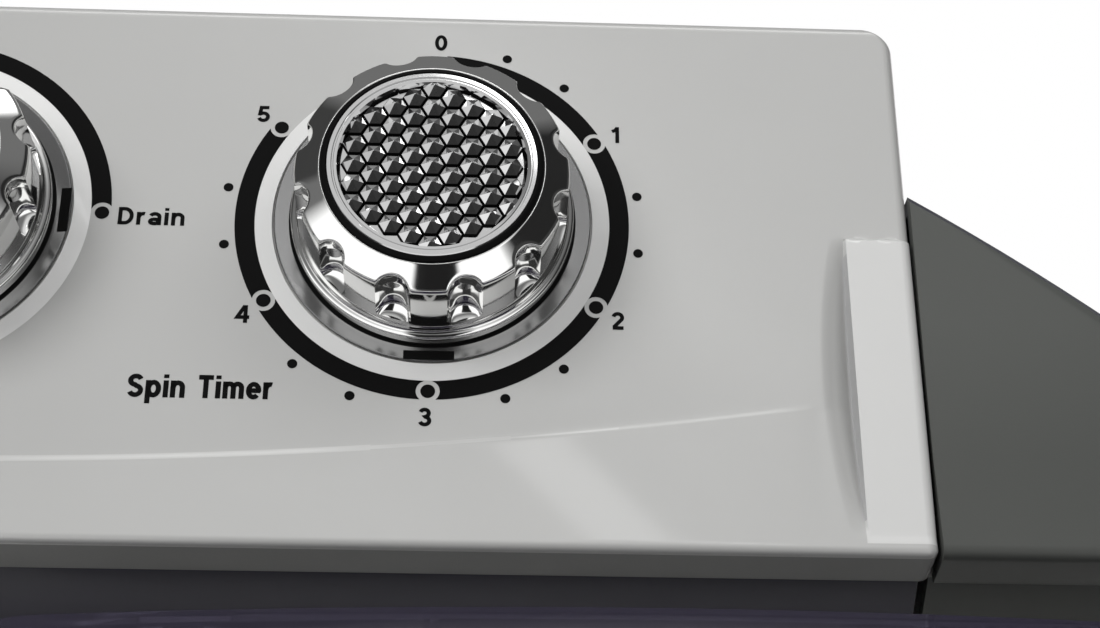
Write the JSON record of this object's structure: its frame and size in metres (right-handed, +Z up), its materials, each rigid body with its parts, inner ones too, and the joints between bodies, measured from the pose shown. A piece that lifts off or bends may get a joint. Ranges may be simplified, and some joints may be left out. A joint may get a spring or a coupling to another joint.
{
  "type": "twin-tub mini washing machine",
  "caption": "Small twin-tub washing machine: wash tub with pulsator beside a spin basket, smoky lids, and a sloping console with fluted timer and selector knobs.",
  "frame": {"origin": "middle of the footprint, on the floor the feet stand on", "axes": "+Z up, the front with the lids faces -Y, +X towards the spin basket"},
  "size_m": [0.6, 0.376, 0.6019],
  "materials": {
    "white_shell": "moulded, satin gloss",
    "silver_panel": "silver paint, soft gloss",
    "dark_plastic": "fine moulded grain",
    "smoky_clear": "smoky clear plastic",
    "tub_plastic": "smooth",
    "blue_plastic": "smooth",
    "steel": "brushed",
    "zinc_screws": "bright",
    "motor_metal": "painted",
    "cast_housing": "as cast",
    "black_rubber": "matt",
    "grey_plastic": "moulded",
    "chrome_knob": "plated, mirror",
    "black_ring": "gloss",
    "clear_lens": "moulded studs"
  },
  "bodies": {
    "machine": {"cabinet_shell": "white_shell", "base_plate": "dark_plastic", "rubber_feet": "black_rubber", "rear_cover": "grey_plastic", "rear_screws": "zinc_screws", "top_deck": "white_shell", "wash_tub": "tub_plastic", "spin_tub": "tub_plastic", "lint_filter": "blue_plastic", "overflow_cover": "tub_plastic", "shaft_seal": "black_rubber", "gear_housing": "cast_housing", "drive_bracket": "steel", "wash_motor": "motor_metal", "drive_belt": "black_rubber", "spin_motor": "motor_metal", "motor_dampers": "black_rubber", "bellows_seal": "black_rubber", "hinge_brackets": "dark_plastic", "hinge_pins": "steel", "console_housing": "dark_plastic", "control_panel": "silver_panel", "end_cap_right": "dark_plastic", "end_cap_left": "dark_plastic", "timer_units": "grey_plastic", "selector_unit": "grey_plastic", "drain_pipes": "grey_plastic", "drain_valve_body": "tub_plastic", "drain_outlet": "grey_plastic", "cable_gland": "black_rubber", "motor_capacitor": "tub_plastic", "water_inlet": "grey_plastic"},
    "wash_lid_body": {"wash_lid": "smoky_clear"},
    "spin_lid_body": {"spin_lid": "smoky_clear"},
    "pulsator_body": {"pulsator": "blue_plastic", "pulsator_screw": "zinc_screws", "pulsator_shaft": "steel", "wash_pulley": "cast_housing"},
    "rotor_body": {"motor_rotor": "steel", "motor_pulley": "cast_housing"},
    "basket_body": {"spin_basket": "steel", "balance_ring": "tub_plastic", "basket_hub": "tub_plastic", "spin_shaft": "steel", "brake_drum": "cast_housing", "pressure_disc": "blue_plastic"},
    "brake_body": {"brake_lever": "steel"},
    "valve_body": {"drain_valve_stem": "tub_plastic"},
    "wash_knob_body": {"wash_knob_spindle": "steel", "wash_knob": "chrome_knob", "wash_knob_ring": "black_ring", "wash_knob_lens": "clear_lens"},
    "selector_body": {"selector_spindle": "steel", "selector_knob": "chrome_knob", "selector_ring": "black_ring", "selector_lens": "clear_lens"},
    "spin_knob_body": {"spin_knob_spindle": "steel", "spin_knob": "chrome_knob", "spin_knob_ring": "black_ring", "spin_knob_lens": "clear_lens"}
  },
  "joints": [
    {"name": "wash_lid_hinge", "type": "hinge", "parent": "machine", "child": "wash_lid_body", "pos_m": [-0.14, 0.05294, 0.515], "axis": [-1, 0, 0], "range_deg": [0, 95]},
    {"name": "spin_lid_hinge", "type": "hinge", "parent": "machine", "child": "spin_lid_body", "pos_m": [0.15, 0.05294, 0.515], "axis": [-1, 0, 0], "range_deg": [0, 95]},
    {"name": "pulsator_spin", "type": "hinge", "parent": "machine", "child": "pulsator_body", "pos_m": [-0.138, -0.064, 0.18], "axis": [0, 0, 1], "continuous": true},
    {"name": "wash_motor_spin", "type": "hinge", "parent": "machine", "child": "rotor_body", "pos_m": [-0.026, 0.042, 0.06], "axis": [0, 0, 1], "continuous": true},
    {"name": "spin_basket_spin", "type": "hinge", "parent": "machine", "child": "basket_body", "pos_m": [0.15, -0.064, 0.2], "axis": [0, 0, 1], "continuous": true},
    {"name": "brake_lever_turn", "type": "hinge", "parent": "machine", "child": "brake_body", "pos_m": [0.196, -0.044, 0.12], "axis": [0, 0, 1], "range_deg": [0, 5]},
    {"name": "drain_valve_lift", "type": "slide", "parent": "machine", "child": "valve_body", "axis": [0, 0, 1], "range_m": [0, 0.009]},
    {"name": "wash_timer_turn", "type": "hinge", "parent": "machine", "child": "wash_knob_body", "pos_m": [-0.1049, 0.1315, 0.571], "axis": [0, -0.5736, 0.8192], "range_deg": [-300, 0]},
    {"name": "selector_turn", "type": "hinge", "parent": "machine", "child": "selector_body", "pos_m": [0, 0.1315, 0.571], "axis": [0, -0.5736, 0.8192], "range_deg": [-180, 0]},
    {"name": "spin_timer_turn", "type": "hinge", "parent": "machine", "child": "spin_knob_body", "pos_m": [0.1049, 0.1315, 0.571], "axis": [0, -0.5736, 0.8192], "range_deg": [-120, 180]}
  ],
  "couplings": [
    {"joint": "wash_motor_spin", "follows": "pulsator_spin", "ratio": 4.3846},
    {"joint": "brake_lever_turn", "follows": "spin_lid_hinge", "ratio": 0.05262},
    {"joint": "drain_valve_lift", "follows": "selector_turn", "m_per_rad": -0.002862}
  ]
}
